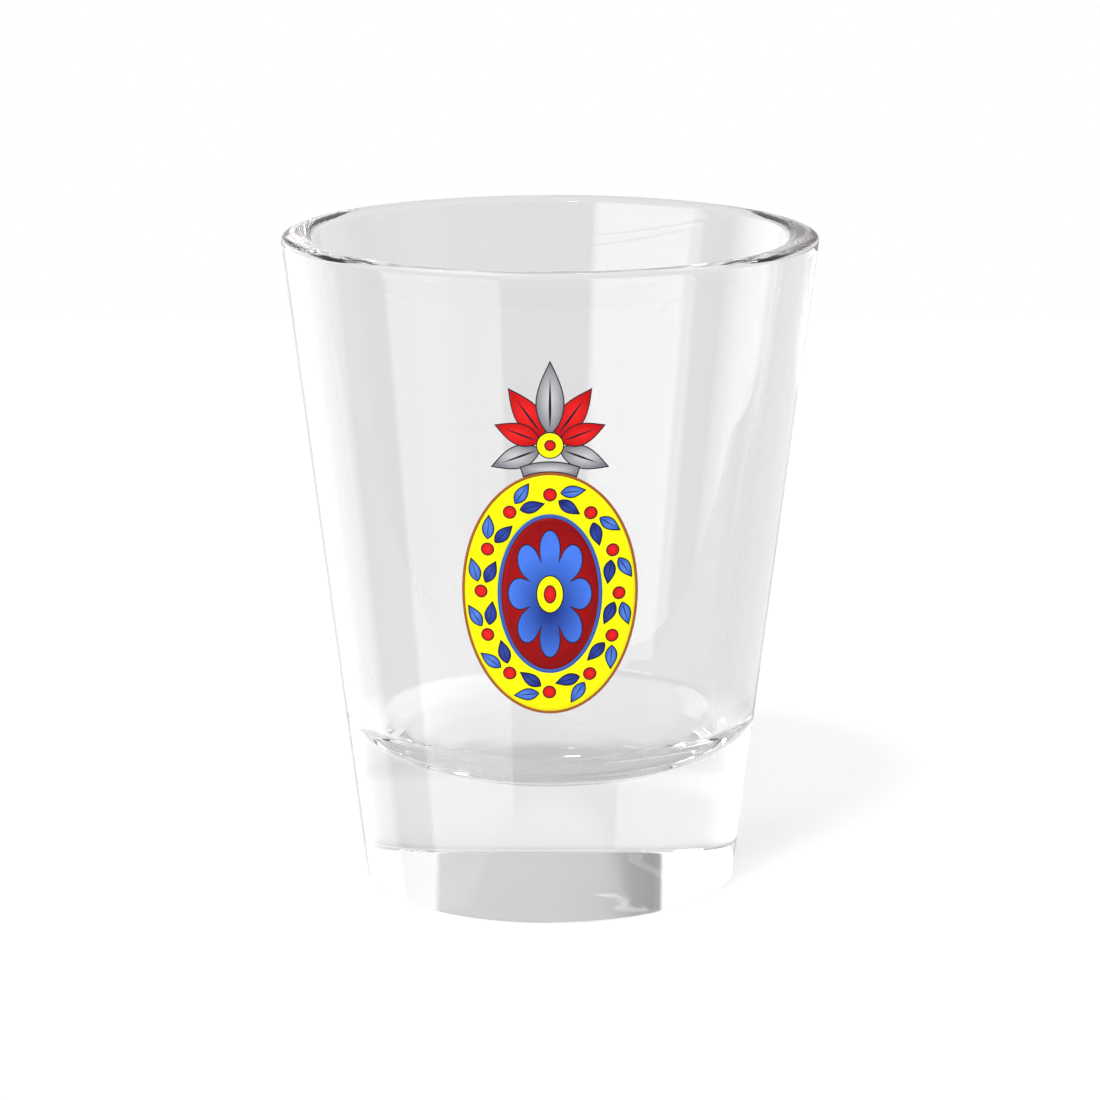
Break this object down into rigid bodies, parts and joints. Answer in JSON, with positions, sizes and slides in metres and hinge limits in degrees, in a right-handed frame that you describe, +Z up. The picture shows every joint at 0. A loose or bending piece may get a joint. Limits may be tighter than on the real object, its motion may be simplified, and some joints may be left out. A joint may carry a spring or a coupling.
{
  "type": "shot glass",
  "caption": "Heavy-bottomed tapered shot glass of clear glass with a rounded lip and an oval flower medallion printed on its front.",
  "frame": {"origin": "centre of the foot, on the surface that the glass stands on", "axes": "+Z up along the glass's axis, and the printed front faces -Y"},
  "size_m": [0.0486, 0.0486, 0.06],
  "materials": {
    "clear_glass": "clear, polished",
    "white_ink": "fired glossy enamel",
    "brown_ink": "fired glossy enamel",
    "yellow_ink": "fired glossy enamel",
    "steel_blue_ink": "fired glossy enamel",
    "maroon_ink": "fired glossy enamel",
    "blue_ink": "fired glossy enamel",
    "red_ink": "fired glossy enamel",
    "grey_ink": "fired glossy enamel"
  },
  "bodies": {
    "root": {"glass_body": "clear_glass", "medallion_underprint": "white_ink", "medallion_outline": "brown_ink", "medallion_band": "yellow_ink", "field_line": "steel_blue_ink", "field": "maroon_ink", "daisy": "blue_ink", "daisy_eye": "yellow_ink", "daisy_pip": "red_ink", "palmette_collar": "grey_ink", "palmette_spear": "grey_ink", "palmette_upper_petal_left": "red_ink", "palmette_upper_petal_right": "red_ink", "palmette_lower_petal_left": "red_ink", "palmette_lower_petal_right": "red_ink", "palmette_side_leaf_left": "grey_ink", "palmette_side_leaf_right": "grey_ink", "palmette_boss": "yellow_ink", "palmette_boss_pip": "red_ink", "berry_01": "red_ink", "outer_leaf_01": "blue_ink", "inner_leaf_01": "blue_ink", "berry_02": "red_ink", "outer_leaf_02": "blue_ink", "inner_leaf_02": "blue_ink", "berry_03": "red_ink", "outer_leaf_03": "blue_ink", "inner_leaf_03": "blue_ink", "berry_04": "red_ink", "outer_leaf_04": "blue_ink", "inner_leaf_04": "blue_ink", "berry_05": "red_ink", "outer_leaf_05": "blue_ink", "inner_leaf_05": "blue_ink", "berry_06": "red_ink", "outer_leaf_06": "blue_ink", "inner_leaf_06": "blue_ink", "berry_07": "red_ink", "outer_leaf_07": "blue_ink", "inner_leaf_07": "blue_ink", "berry_08": "red_ink", "outer_leaf_08": "blue_ink", "inner_leaf_08": "blue_ink", "berry_09": "red_ink", "outer_leaf_09": "blue_ink", "inner_leaf_09": "blue_ink", "berry_10": "red_ink", "outer_leaf_10": "blue_ink", "inner_leaf_10": "blue_ink", "berry_11": "red_ink", "outer_leaf_11": "blue_ink", "inner_leaf_11": "blue_ink", "berry_12": "red_ink", "outer_leaf_12": "blue_ink", "inner_leaf_12": "blue_ink"}
  },
  "joints": []
}
